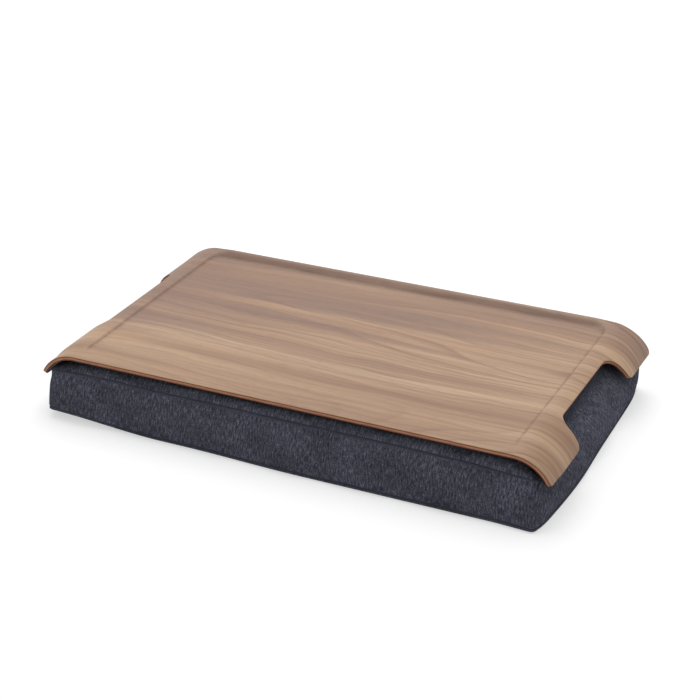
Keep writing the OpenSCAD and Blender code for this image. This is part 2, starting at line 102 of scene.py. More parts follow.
# ---- materials ----
class Nodes:
    """A material's node tree, with short calls for the nodes used here."""

    def __init__(self, name, roughness, **fixed):
        self.material = bpy.data.materials.new(name)
        self.material.use_nodes = True
        self.tree = self.material.node_tree
        self.shader = self.tree.nodes["Principled BSDF"]
        self.shader.inputs["Roughness"].default_value = roughness
        for socket, value in fixed.items():
            self.shader.inputs[socket.replace("_", " ")].default_value = value

    def link(self, source, target):
        if hasattr(source, "links"):
            self.tree.links.new(source, target)
        else:
            target.default_value = source

    def add(self, kind, **settings):
        node = self.tree.nodes.new("ShaderNode" + kind)
        for key, value in settings.items():
            setattr(node, key, value)
        return node

    def place(self, scale, shift=(0, 0, 0), source="UV", warp=None):
        """Texture coordinates in metres, multiplied by scale."""
        if source == "UV":
            start = self.add("UVMap", uv_map="cloth").outputs[0]
        else:
            start = self.add("TexCoord").outputs["Object"]
        if warp is not None:
            mix = self.add("VectorMath", operation="ADD")
            self.link(start, mix.inputs[0])
            self.link(warp, mix.inputs[1])
            start = mix.outputs[0]
        mapping = self.add("Mapping")
        mapping.inputs["Scale"].default_value = scale
        mapping.inputs["Location"].default_value = shift
        self.link(start, mapping.inputs["Vector"])
        return mapping.outputs[0]

    def texture(self, kind, vector):
        """A texture node whose scale is its vector's alone."""
        node = self.add("Tex" + kind)
        self.link(vector, node.inputs["Vector"])
        node.inputs["Scale"].default_value = 1
        return node

    def noise(self, vector, detail=2, roughness=0.5):
        node = self.texture("Noise", vector)
        node.inputs["Detail"].default_value = detail
        node.inputs["Roughness"].default_value = roughness
        return node.outputs[0]

    def maths(self, operation, a, b=0.5):
        node = self.add("Math", operation=operation)
        self.link(a, node.inputs[0])
        self.link(b, node.inputs[1])
        return node.outputs[0]

    def ramp(self, value, *stops):
        """stops are (place, colour or grey)."""
        node = self.add("ValToRGB")
        ends = node.color_ramp.elements
        while len(ends) < len(stops):
            ends.new(0.5)
        for end, (place, colour) in zip(ends, stops):
            end.position = place
            end.color = colour if isinstance(colour, tuple) else (colour,) * 3 + (1,)
        self.link(value, node.inputs[0])
        return node.outputs[0]

    def mix(self, share, a, b):
        """Colour a turned into b by share. The node's colour sockets share their names."""
        node = self.add("Mix", data_type="RGBA")
        self.link(share, node.inputs["Factor"])
        self.link(a, node.inputs[6])
        self.link(b, node.inputs[7])
        return node.outputs[2]

    def along_v(self, value):
        """A vector that is value in v and 0 in u."""
        node = self.add("CombineXYZ")
        self.link(value, node.inputs["Y"])
        return node.outputs[0]

    def split(self, vector):
        node = self.add("SeparateXYZ")
        self.link(vector, node.inputs[0])
        return node.outputs

    def attribute(self, name):
        return self.add("Attribute", attribute_name=name).outputs["Fac"]

    def fold_shade(self, start, end, width):
        """Painted shade of a fold: 1 on a line between two (x, z) places on the object's front,
        fading to 0 over width.
        """
        x, y, z = self.split(self.add("TexCoord").outputs["Object"])
        reach = (end[0] - start[0], end[1] - start[1])
        length = math.hypot(*reach)
        dx, dz = self.maths("SUBTRACT", x, start[0]), self.maths("SUBTRACT", z, start[1])
        along = self.maths("ADD", self.maths("MULTIPLY", dx, reach[0] / length**2),
                           self.maths("MULTIPLY", dz, reach[1] / length**2))
        offset = self.maths("SUBTRACT", self.maths("MULTIPLY", dx, reach[1] / length),
                            self.maths("MULTIPLY", dz, reach[0] / length))
        aside = self.maths("ABSOLUTE", offset)
        near = self.ramp(self.maths("DIVIDE", aside, width), (0.0, 0.9), (1.0, 0.0))
        taper = self.ramp(along, (0.0, 0.0), (0.1, 1.0), (0.6, 0.8), (1.0, 0.0))
        front = self.maths("LESS_THAN", y, -0.1)
        return self.maths("MULTIPLY", self.maths("MULTIPLY", near, taper), front)

    def finish(self, colour, bump=None, depth=0.0002, strength=0.5, roughness=None):
        self.link(colour, self.shader.inputs["Base Color"])
        if roughness is not None:
            self.link(roughness, self.shader.inputs["Roughness"])
        if bump is not None:
            node = self.add("Bump")
            node.inputs["Strength"].default_value = strength
            node.inputs["Distance"].default_value = depth
            self.link(bump, node.inputs["Height"])
            self.link(node.outputs[0], self.shader.inputs["Normal"])
        return self.material


def walnut(name):
    """Walnut veneer: the UV map runs along the grain in u and across it in v."""
    n = Nodes(name, 0.46, Specular_IOR_Level=0.3, Coat_Weight=0.05, Coat_Roughness=0.35)
    sway = n.noise(n.place((2.4, 7, 1), (5.2, 1.9, 0)), detail=3)
    ripple = n.noise(n.place((9, 34, 1)), detail=2)
    shift = n.maths("ADD", n.maths("MULTIPLY", n.maths("SUBTRACT", sway, 0.5), 0.06),
                    n.maths("MULTIPLY", n.maths("SUBTRACT", ripple, 0.5), 0.007))
    warp = n.along_v(shift)
    broad = n.noise(n.place((1.1, 24, 1), (3.1, 0.7, 0), warp=warp), detail=4, roughness=0.55)
    field = n.noise(n.place((0.9, 5.5, 1), (2.6, 4.4, 0), warp=warp), detail=1, roughness=0.4)
    growth = n.maths("FRACT", n.maths("MULTIPLY", field, 38.0))
    lines = n.noise(n.place((3.2, 210, 1), (7.3, 2.2, 0), warp=warp), detail=5, roughness=0.6)
    pores = n.noise(n.place((70, 1500, 1), warp=warp), detail=2)
    u, v = n.split(n.add("UVMap", uv_map="cloth").outputs[0])[:2]
    # Painted reflection and painted shade: the colour turns warmer towards the front, and greyer and
    # darker towards the rear and the left. The purple-grey streaks themselves are the veneer's own.
    painted_reflection_rear_left = n.maths("ADD", n.maths("MULTIPLY", v, 0.75), n.maths("MULTIPLY", u, -0.35))
    bands = n.noise(n.place((0.8, 21, 1), (1.4, 9.6, 0), warp=warp), detail=3, roughness=0.55)
    grey = n.ramp(n.maths("ADD", bands, painted_reflection_rear_left), (0.47, 0.0), (0.64, 0.8))
    colour = n.ramp(broad, (0.32, linear(146, 110, 86)), (0.5, linear(179, 144, 114)),
                    (0.66, linear(201, 168, 136)))
    colour = n.mix(grey, colour, linear(134, 106, 93))
    near = n.ramp(n.maths("MULTIPLY", v, -6.0), (0.2, 0.0), (0.9, 0.4))
    colour = n.mix(near, colour, linear(163, 127, 97))
    rear = n.ramp(n.maths("MULTIPLY", v, 6.0), (0.7, 0.0), (0.9, 0.5))
    colour = n.mix(rear, colour, linear(134, 106, 93))
    sparse = n.ramp(n.noise(n.place((1.6, 10, 1), (8.8, 3.3, 0), warp=warp), detail=2),
                    (0.4, 0.1), (0.62, 1.0))
    bolder = n.ramp(n.maths("ADD", n.maths("MULTIPLY", u, 1.8), 0.5),
                    (0.0, 0.35), (0.45, 0.55), (1.0, 1.0))
    rings = n.ramp(growth, (0.0, 0.0), (0.7, 0.12), (0.93, 0.75), (1.0, 0.0))
    rings = n.maths("MULTIPLY", n.maths("MULTIPLY", rings, sparse), bolder)
    colour = n.mix(rings, colour, linear(116, 84, 68))
    fine = n.maths("MULTIPLY", n.ramp(lines, (0.34, 0.6), (0.54, 0.0)), bolder)
    colour = n.mix(fine, colour, linear(128, 94, 76))
    colour = n.mix(n.ramp(pores, (0.60, 0.0), (0.70, 0.35)), colour, linear(104, 76, 62))
    # Painted shade from the point value crease, broken into patches: in the pressed line at the
    # step's foot, on the rear rim's slope and on the left-hand step.
    patchy = n.ramp(n.noise(n.place((14, 90, 1)), detail=3), (0.38, 0.5), (0.6, 1.0))
    colour = n.mix(n.maths("MULTIPLY", n.attribute("crease"), patchy), colour, linear(104, 77, 64))
    height = n.maths("SUBTRACT", lines, pores)
    rough = n.ramp(pores, (0.4, 0.44), (0.75, 0.58))
    return n.finish(colour, height, 0.00008, 0.35, rough)


def edge_wood(name, dark, light, scale):
    """The cut edge of a ply: short fibres along the edge."""
    n = Nodes(name, 0.6, Specular_IOR_Level=0.3)
    fibres = n.noise(n.place(scale), detail=4, roughness=0.6)
    return n.finish(n.ramp(fibres, (0.32, dark), (0.68, light)), fibres, 0.00006, 0.4)


def melange(name, dark, mid, light, streaks, folds=()):
    """Blue-grey cloth of mixed yarns. streaks is 1 for long vertical flecks, 0 for round ones.
    folds are short creases on the front, painted dark as shade: (start, end, width), each end an x
    and a z in metres."""
    n = Nodes(name, 0.95, Specular_IOR_Level=0.05)
    fleck = n.noise(n.place((640, 640, 1)), detail=4, roughness=0.8)
    long_fleck = n.noise(n.place((620, 150, 1), (0.3, 0.9, 0)), detail=4, roughness=0.75)
    cloud = n.noise(n.place((24, 24, 1)), detail=2)
    tone = n.maths("ADD", n.maths("MULTIPLY", fleck, 1 - 0.6 * streaks),
                   n.maths("MULTIPLY", long_fleck, 0.6 * streaks))
    tone = n.maths("ADD", tone, n.maths("MULTIPLY", n.maths("SUBTRACT", cloud, 0.5), 0.12))
    colour = n.ramp(tone, (0.36, dark), (0.5, mid), (0.64, light))
    weave = n.texture("Checker", n.place((1500, 1500, 1)))
    height = n.maths("ADD", n.maths("MULTIPLY", weave.outputs["Fac"], 0.35), fleck)
    shade = n.attribute("shade")
    for start, end, width in folds:
        shade = n.maths("MAXIMUM", shade, n.fold_shade(start, end, width))
    # Painted shade along the seams, on the front left corner and along the folds.
    colour = n.mix(shade, colour, linear(16, 18, 26))
    height = n.maths("SUBTRACT", height, n.maths("MULTIPLY", shade, 2.5))
    return n.finish(colour, height, 0.0003)


def plain_cloth(name, dark, light, scale=900.0):
    n = Nodes(name, 0.9, Specular_IOR_Level=0.2)
    fleck = n.noise(n.place((scale,) * 3, source="Object"), detail=3)
    return n.finish(n.ramp(fleck, (0.35, dark), (0.65, light)), fleck, 0.0003, 0.5)


def loop_pile(name, dark, light):
    n = Nodes(name, 0.8, Specular_IOR_Level=0.25)
    height = n.texture("Voronoi", n.place((800,) * 3, source="Object")).outputs["Distance"]
    return n.finish(n.ramp(height, (0.1, light), (0.7, dark)), height, 0.0005, 0.8)


def bead_skin(name):
    n = Nodes(name, 0.7, Specular_IOR_Level=0.3)
    cell = n.texture("Voronoi", n.place((330,) * 3, source="Object"))
    height = n.maths("SUBTRACT", 1.0, cell.outputs["Distance"])
    return n.finish(n.ramp(height, (0.2, linear(196, 196, 190)), (0.8, linear(240, 240, 236))),
                    height, 0.0016, 0.9)


def dark_metal(name):
    n = Nodes(name, 0.34, Metallic=0.9)
    brushed = n.noise(n.place((300, 2600, 2600), source="Object"), detail=3)
    rough = n.ramp(brushed, (0.3, 0.28), (0.7, 0.44))
    return n.finish(n.ramp(brushed, (0.3, linear(92, 92, 96)), (0.7, linear(122, 122, 127))),
                    brushed, 0.00002, 0.3, rough)


def nylon(name):
    n = Nodes(name, 0.42, Specular_IOR_Level=0.45)
    grain = n.noise(n.place((1400,) * 3, source="Object"), detail=2)
    return n.finish(n.ramp(grain, (0.3, linear(26, 27, 31)), (0.7, linear(44, 45, 51))),
                    grain, 0.00005, 0.3)


FACE = walnut("walnut face")
DARK_PLY = edge_wood("dark ply edge", linear(104, 58, 42), linear(136, 80, 57), (90, 900, 1))
CORE = edge_wood("core ply edge", linear(168, 112, 80), linear(204, 144, 108), (60, 700, 1))
BACK = edge_wood("backing veneer", linear(74, 52, 40), linear(106, 78, 60), (9, 260, 1))
NAVY, BLUE_GREY, PALE_GREY = linear(34, 35, 43), linear(76, 77, 88), linear(130, 132, 148)
# Folds near the front right corner, painted dark as shade on the front wall and the top: (start,
# end, width), each end an x and a z in metres.
WALL_FOLD_SHADE = (((0.2735, 0.0450), (0.2705, 0.0340), 0.0022),
              ((0.2745, 0.0440), (0.2620, 0.0480), 0.0016))
TOP_FOLD_SHADE = (((0.2750, 0.0455), (0.2350, 0.0535), 0.0020),
             ((0.2745, 0.0465), (0.2640, 0.0520), 0.0024))
CLOTH_FRONT = melange("boxing cloth front", NAVY, BLUE_GREY, PALE_GREY, 1, WALL_FOLD_SHADE)
# The ends' cloth has round flecks, and mid and light tones lighter than the front's: the lighter
# tones are painted light.
CLOTH_END = melange("boxing cloth ends", NAVY, linear(90, 94, 114), linear(152, 158, 182), 0)
CLOTH_TOP = melange("top cloth", NAVY, BLUE_GREY, PALE_GREY, 0, TOP_FOLD_SHADE)
BASE_CLOTH = plain_cloth("base cloth", linear(7, 8, 12), linear(19, 21, 28))
LINING = plain_cloth("bag lining", linear(206, 205, 198), linear(232, 231, 226), 700.0)
BEADS = bead_skin("foamed beads")
PILE = loop_pile("fastener pile", linear(16, 16, 18), linear(48, 48, 52))
TAPE = plain_cloth("zip tape", linear(24, 25, 31), linear(50, 52, 60), 1300.0)
METAL = dark_metal("zip metal")
NYLON = nylon("zip coil")


# ---- tray: the form of the CAD solids ----
TRAY_W, TRAY_D, TRAY_T, TRAY_Z, TRAY_Y = 568.0, 312.0, 4.8, 66.0, 11.0
END_R, END_SWEEP = 44.6, math.radians(65)
SIDE_STEP, GROOVE_W, FADE_FROM, FADE_LEN = 1.6, 5.0, 12.0, 18.0
RIM_H, RIM_W, RIM_RISE, RIM_FALL, RECESS_R = 5.0, 14.5, 11.0, 1.5, 16.0
RIM_END_LOSS, RIM_END_RUN = 0.4, 25.0
# CREASE_SHADE, RIM_SHADE and STEP_SHADE are strengths of painted shade in the veneer: in the pressed
# line, on the rear rim's slope and on the left-hand step.
CREASE_DEPTH, CREASE_W, CREASE_SHADE = 0.4, 1.2, 0.5
RIM_SHADE, STEP_SHADE = 0.7, 0.35
FRONT_CORNER_R, REAR_CORNER_R = 4.0, 7.0
ARC_X = TRAY_W / 2 - END_R * math.sin(END_SWEEP)
ARC_LEN = END_R * END_SWEEP
TRAY_FRONT, TRAY_REAR = TRAY_Y - TRAY_D / 2, TRAY_Y + TRAY_D / 2
NOTCH_W, NOTCH_INNER_W, NOTCH_INNER_R, NOTCH_OUTER_R = 163.0, 148.0, 17.0, 8.0
NOTCH_Y = TRAY_Y + 5
NOTCH_S = math.radians(21) * END_R
NOTCH_SLOPE = math.atan((NOTCH_W - NOTCH_INNER_W) / 2 / (ARC_LEN - NOTCH_S))
PLY_DEPTHS = (0, 0.6, 1.4, 3.4, 4.2, 4.8)


def recess_edge(s, y):
    """(distance outside the recess's outline, 0 beside it to 1 behind it)."""
    dx = np.abs(s) - (ARC_X - GROOVE_W - RECESS_R)
    dy = y - (TRAY_REAR - RIM_W - RECESS_R)
    at_corner = (dx > 0) & (dy > 0)
    back = np.where(at_corner, ease(dy / np.maximum(dx + dy, 1e-9)), dy > dx)
    return np.where(at_corner, np.hypot(dx, dy), np.maximum(dx, dy)) - RECESS_R, back


def crease(s, y):
    """Strength, 0 to 1, of the fine line pressed in at the foot of the step."""
    reach, back = recess_edge(s, y)
    fade = ease((y - TRAY_FRONT - FADE_FROM) / FADE_LEN)
    return np.exp(-((reach - CREASE_W) / CREASE_W) ** 2) * fade * (1 - 0.1 * back)


def slope_shade(s, y):
    """Painted shade, 0 to 1, on the rear rim's slope, most at its foot, and on the left-hand step.
    """
    reach, back = recess_edge(s, y)
    fade = ease((y - TRAY_FRONT - FADE_FROM) / FADE_LEN)
    q = reach / (GROOVE_W + (RIM_RISE - GROOVE_W) * back)
    band = np.exp(-((q - 0.15) / 0.42) ** 2)
    return band * (RIM_SHADE * back + STEP_SHADE * (1 - back) * (s < 0) * fade)


def rise(s, y):
    reach, back = recess_edge(s, y)
    fade = ease((y - TRAY_FRONT - FADE_FROM) / FADE_LEN)
    roll = np.maximum(0, (y - TRAY_REAR + RIM_W - RIM_RISE) / (RIM_W - RIM_RISE))
    rim = RIM_H * (1 - RIM_END_LOSS * ease((np.abs(s) - ARC_X) / RIM_END_RUN))
    step = SIDE_STEP * fade * (1 - back) + rim * back
    return (step * ease(reach / (GROOVE_W + (RIM_RISE - GROOVE_W) * back))
            - RIM_FALL * back * roll**2 - CREASE_DEPTH * crease(s, y))


def tray_top(s, y):
    angle = np.maximum(0, np.abs(s) - ARC_X) / END_R
    height, side = rise(s, y), np.sign(s)
    r = END_R + height
    x = np.where(angle > 0, side * (ARC_X + r * np.sin(angle)), s)
    z = np.where(angle > 0, TRAY_Z - END_R + r * np.cos(angle), TRAY_Z + height)
    return np.stack([x, y + 0 * s, z], -1)


def tray_point(s, y, depth):
    """Places at a depth under the top, square to it."""
    h = 0.05                              # the slopes are taken over twice this length
    across = tray_top(s + h, y) - tray_top(s - h, y)
    along = tray_top(s, y + h) - tray_top(s, y - h)
    normal = np.cross(across, along)
    normal /= np.linalg.norm(normal, axis=-1, keepdims=True)
    return tray_top(s, y) - np.asarray(depth)[..., None] * normal


def notch_edge():
    """Half width of the notch at each station along the rolled end: (stations, half widths)."""
    slope = NOTCH_SLOPE
    c1 = (NOTCH_S + NOTCH_INNER_R, NOTCH_INNER_W / 2 + NOTCH_INNER_R * math.tan(slope)
          - NOTCH_INNER_R / math.cos(slope))
    c2 = (ARC_LEN - NOTCH_OUTER_R, NOTCH_W / 2 - NOTCH_OUTER_R * math.tan(slope)
          + NOTCH_OUTER_R / math.cos(slope))
    inner = np.linspace(math.pi, math.pi / 2 + slope, 15)
    outer = np.linspace(-math.pi / 2 + slope, 0, 10)
    first = np.array(c1) + NOTCH_INNER_R * np.stack([np.cos(inner), np.sin(inner)], 1)
    last = np.array(c2) + NOTCH_OUTER_R * np.stack([np.cos(outer), np.sin(outer)], 1)
    straight = np.linspace(first[-1], last[0], 8)[1:-1]
    path = np.concatenate([first, straight, last])
    corner = ARC_LEN - 1.5 * (1 - np.sin(np.linspace(0, math.pi / 2, 5)))[1:-1]
    extra = np.concatenate([np.linspace(ARC_LEN - REAR_CORNER_R, ARC_LEN - 1.5, 5), corner])
    stations = np.sort(np.concatenate([path[:, 0], extra]))
    stations = stations[np.concatenate([[True], np.diff(stations) > 0.02])]
    return stations, np.interp(stations, path[:, 0], path[:, 1])


def corner_trim(s, r):
    """How far the rounded corner of an end stands in from the tray's edge at a station."""
    past = max(0.0, s - (ARC_LEN - r))
    return r - math.sqrt(max(0.0, r * r - past * past))


def tray_plan():
    """The developed plan as a grid: (points [s, y], faces, outline as point numbers)."""
    half = graded(0, (ARC_X - GROOVE_W - RECESS_R, 14), (ARC_X - GROOVE_W - 1, 1.5),
                  (ARC_X, 0.45), (ARC_X + NOTCH_S, 1.5))
    columns = np.concatenate([-half[:0:-1], half])
    stations, widths = notch_edge()
    y_near, y_far = NOTCH_Y - widths[0], NOTCH_Y + widths[0]
    near = graded(TRAY_FRONT, (TRAY_FRONT + FADE_FROM, 4), (TRAY_FRONT + FADE_FROM + FADE_LEN, 1.5),
                  (y_near, 7))
    far = graded(y_far, (TRAY_REAR - RIM_W - RECESS_R, 7), (TRAY_REAR - RIM_W, 1.5),
                 (TRAY_REAR, 0.7))
    middle = graded(y_near, (y_far, 8))[1:-1]
    rows = np.concatenate([near, middle, far])
    points = [(s, y) for y in rows for s in columns]
    number = np.arange(len(points)).reshape(len(rows), len(columns))
    grids = [number]
    for side in (-1, 1):
        edge = 0 if side < 0 else len(columns) - 1
        for ear_rows, start in ((near, 0), (far, len(rows) - len(far))):
            numbers = [number[start:start + len(ear_rows), edge]]
            for s, w in zip(stations[1:], widths[1:]):
                if start == 0:
                    share = (ear_rows - TRAY_FRONT) / (y_near - TRAY_FRONT)
                    edge_y = TRAY_FRONT + corner_trim(s, FRONT_CORNER_R)
                    ys = edge_y + share * (NOTCH_Y - w - edge_y)
                else:
                    share = (TRAY_REAR - ear_rows) / (TRAY_REAR - y_far)
                    edge_y = TRAY_REAR - corner_trim(s, REAR_CORNER_R)
                    ys = edge_y - share * (edge_y - NOTCH_Y - w)
                numbers.append(np.arange(len(points), len(points) + len(ys)))
                points += [(side * (ARC_X + s), y) for y in ys]
            grid = np.stack(numbers, 1)
            grids.append(grid if side > 0 else grid[:, ::-1])
    faces = []
    for g in grids:
        faces += [(g[r, c], g[r, c + 1], g[r + 1, c + 1], g[r + 1, c])
                  for r in range(g.shape[0] - 1) for c in range(g.shape[1] - 1)]
    after = {}
    seen = {(f[k], f[(k + 1) % 4]) for f in faces for k in range(4)}
    for a, b in seen:
        if (b, a) not in seen:
            after[a] = b
    outline = [next(iter(after))]
    while after[outline[-1]] != outline[0]:
        outline.append(after[outline[-1]])
    return np.array(points), faces, np.array(outline)


PLAN, PLAN_FACES, OUTLINE = tray_plan()


def outline_inwards():
    """For each outline point, the step that moves it 1 mm in from both edges it joins."""
    p = PLAN[OUTLINE]
    ahead, behind = np.roll(p, -1, 0) - p, p - np.roll(p, 1, 0)
    normals = [np.stack([-e[:, 1], e[:, 0]], 1) / np.linalg.norm(e, axis=1, keepdims=True)
               for e in (ahead, behind)]
    both = normals[0] + normals[1]
    return both * 2 / np.maximum((both**2).sum(1, keepdims=True), 1.2)


INWARDS = outline_inwards()
ARRIS_STEPS, SHARP_ANGLE = 4, math.radians(40)


def rounded(radius, depth, downwards):
    """(inset, depth) steps of a rounded arris, from the flat face to the edge or back."""
    turns = np.linspace(0, math.pi / 2, ARRIS_STEPS + 1)
    steps = [(radius * (1 - math.sin(a)), depth + downwards * radius * (1 - math.cos(a)))
             for a in turns]
    return steps if downwards > 0 else steps[::-1]


def ply(name, node, material, top, bottom, top_r=0.0, bottom_r=0.0, faced=False):
    """One ply between two depths. Only a faced ply has its whole surface; the ones between
    the two veneers are frames, because only their edges show."""
    profile = rounded(top_r, top, 1) if top_r else [(0, top)]
    profile += rounded(bottom_r, bottom, -1) if bottom_r else [(0, bottom)]
    hidden_w = 3.0
    if not faced:
        profile += [(hidden_w, bottom), (hidden_w, top)]
    count = len(OUTLINE)
    plans, depths, faces = [], [], []
    for inset, depth in profile:
        plans.append(PLAN[OUTLINE] + inset * INWARDS)
        depths.append(np.full(count, depth))
    strips = len(profile) - 1 if faced else len(profile)
    for k in range(strips):
        a, b = k * count, (k + 1) % len(profile) * count
        for i in range(count):
            j = (i + 1) % count
            faces.append((a + j, a + i, b + i, b + j))
    if faced:
        for row, depth, flip in ((0, top, False), (len(profile) - 1, bottom, True)):
            renumber = np.arange(len(PLAN)) + sum(len(p) for p in plans)
            renumber[OUTLINE] = row * count + np.arange(count)
            plans.append(PLAN)
            depths.append(np.full(len(PLAN), depth))
            faces += [tuple(renumber[list(f)])[::-1 if flip else 1] for f in PLAN_FACES]
    plan, depth = np.concatenate(plans), np.concatenate(depths)
    used = np.zeros(len(plan), bool)
    used[np.concatenate([np.array(f) for f in faces])] = True
    renumber = np.cumsum(used) - 1
    faces = [tuple(renumber[list(f)]) for f in faces]
    plan, depth = plan[used], depth[used]
    uvs = np.stack([plan[:, 0], plan[:, 1] - depth], 1)
    piece = make_piece(name, tray_point(plan[:, 0], plan[:, 1], depth), faces, uvs)
    # The point value crease carries painted shade: the pressed line, the rear rim's slope and the
    # left-hand step.
    shade = np.maximum(CREASE_SHADE * crease(*plan.T), slope_shade(*plan.T))
    point_value(piece, "crease", shade * (depth < 0.1))
    mark_sharp(piece)
    wear(piece, material)
    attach(piece, "tray")
    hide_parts(node)
    return piece


def mark_sharp(piece):
    """Keeps hard edges hard on a smooth-shaded mesh."""
    mesh = bmesh.new()
    mesh.from_mesh(piece.data)
    for edge in mesh.edges:
        edge.smooth = len(edge.link_faces) != 2 or edge.calc_face_angle(0) < SHARP_ANGLE
    mesh.to_mesh(piece.data)
    mesh.free()


ply("walnut_face", "top_face_veneer", FACE, PLY_DEPTHS[0], PLY_DEPTHS[1], top_r=0.5,
            faced=True)
ply("edge_upper_cross_ply", "upper_cross_ply", DARK_PLY, PLY_DEPTHS[1], PLY_DEPTHS[2])
ply("edge_core_ply", "core_ply", CORE, PLY_DEPTHS[2], PLY_DEPTHS[3])
ply("edge_lower_cross_ply", "lower_cross_ply", DARK_PLY, PLY_DEPTHS[3], PLY_DEPTHS[4])
ply("backing_veneer", "underside_veneer", BACK, PLY_DEPTHS[4], PLY_DEPTHS[5],
            bottom_r=0.45, faced=True)


# ---- cushion: the form of the CAD solids, with more rings and stations ----
CUSHION_W, CUSHION_D = TRAY_W - 2 * 10.5, 328.0
PLAN_D = TRAY_D + 22.0
LOW_Z, HIGH_Z = 4.0, 45.0
TOP_Z = TRAY_Z - TRAY_T - 2.2
FRONT_BULGE, LEFT_FLARE, FRONT_LEAN = 2.5, 4.0, 16.0
CUSHION_X = 3.0
CUSHION_Y = -PLAN_D / 2 + CUSHION_D / 2
END_BULGE, END_TAPER, DRAW_IN, END_SEAM_LIFT = 7.0, 3.5, 28.0, 8.0
SEAM_CROWN, CROWN_RUN, CORNER_R = 5.0, 40.0, 5.0
CORNER_LIFT, LIFT_RUN, UPPER_LIFT = 7.0, 140.0, 0.5
LEFT_HOLD = 0.62                          # the left end draws in over this share of its depth
ZIP_T = (0.42, 0.63)                      # the zip's slot, as shares of the wall's height
REAR_FULLNESS = 2.5                       # the rear of the right-hand end stands out a little
END_SKEW = 2.5                            # the right-hand end is fuller low down near the front
FRONT_POINT = (1.5, 2.0)                  # the lower front right corner's point, in x and y
POINT_RUN = 45.0
LEFT_TUCK, LEFT_BACK = 1.5, 4.0           # the lower front stands back towards the left
LEFT_FROM, LEFT_RUN = 30.0, 140.0
RIGHT_FLARE = 2.5                         # the upper front right corner stands out this far
SEAM_SHADE, LEFT_SHADE = 0.5, 0.8         # painted shade on the seams' lines, and on the front left corner
BASE_EDGE = 6.0                           # the base curves up over this distance from its edge
BASE_TURN, SEAM_FOOT = 2.0, 0.8           # how far below the lower seam the cloth turns up to it
LOW_GROOVE, HIGH_GROOVE = 1.3, 1.2        # how far the two seams are drawn in
MIDDLE_HALF = 3.0                         # half the width of the innermost ring
PITCH, RING_PITCH, CORNER_STEPS = 4.0, 3.0, 6
INNER_PITCH, INNER_RING_PITCH = 9.0, 7.0
SLOT_DEPTH = 3.4


def stations(pitch, corner_steps):
    """Stations round the plan: columns x share, y share, corner angle, side (4 at a corner)."""
    rows = []
    wide = max(8, 2 * round(CUSHION_W / pitch / 2))
    deep = max(8, 2 * round(CUSHION_D / pitch / 2))
    for side, (sx, sy) in enumerate(((0, -1), (1, 0), (0, 1), (-1, 0))):
        count = wide if sx == 0 else deep
        direction = (1, 1, -1, -1)[side]
        for i in range(count):
            along = direction * (2 * i / count - 1)
            rows.append((along if sx == 0 else sx, along if sy == 0 else sy, 0, side))
        corner = ((1, -1), (1, 1), (-1, 1), (-1, -1))[side]
        for i in range(corner_steps):
            rows.append((*corner, math.radians(-90 + 90 * side + 90 * i / corner_steps), 4))
    return np.array(rows)


def ring(kind, at):
    """A ring's measures. kind is base, wall or crown, and at its place there."""
    if kind == "base":                    # at is the distance in from the edge
        lift = ease(1 - at / LIFT_RUN)
        return dict(w=CUSHION_W / 2 - at, d=CUSHION_D / 2 - at, r=CORNER_R + 0.15 * at,
                    z=max(0.0, 1 - at / BASE_EDGE), bulge=0, end=END_BULGE, draw=0, end_lift=0,
                    crown=0, lift=lift, lean=0, inward=(0.5, 0.85), full=0,
                    point=ease(1 - at / 30))
    t = at if kind == "wall" else 1
    wall = dict(w=CUSHION_W / 2 - END_TAPER * t, d=CUSHION_D / 2 - 2 * t**6, r=CORNER_R,
                z=LOW_Z + (HIGH_Z - LOW_Z) * t, bulge=FRONT_BULGE * math.sin(math.pi * t),
                end=END_BULGE + math.sin(math.pi * t) - 2 * t, draw=DRAW_IN * t**4,
                end_lift=END_SEAM_LIFT * t**4, crown=SEAM_CROWN * t**2,
                lift=1 - (1 - UPPER_LIFT) * t, lean=t, inward=(1, -0.5 * (t == 1)),
                full=math.sin(math.pi * t), point=(1 - t) ** 1.5)
    if kind == "wall":
        return wall
    share = min(at, 1)
    f = 1 - (1 - share) ** 2
    shrink, bulge_left = CROWN_RUN * at, (1 - 0.6 * share) / max(at, 1)
    wall.update(w=wall["w"] - min(1.4, 1 + 0.4 / max(at, 1)) * shrink, d=wall["d"] - shrink,
                r=CORNER_R + 12 * share, z=wall["z"] + (TOP_Z - wall["z"]) * f, bulge=0,
                end=wall["end"] * bulge_left, draw=wall["draw"] * bulge_left,
                end_lift=wall["end_lift"] * (1 - f), crown=wall["crown"] * (1 - f),
                lift=wall["lift"] * (1 - f), lean=1 - f, full=0, point=0,
                inward=(0.5 * (1 - share), -0.5 - 0.5 * share))
    return wall


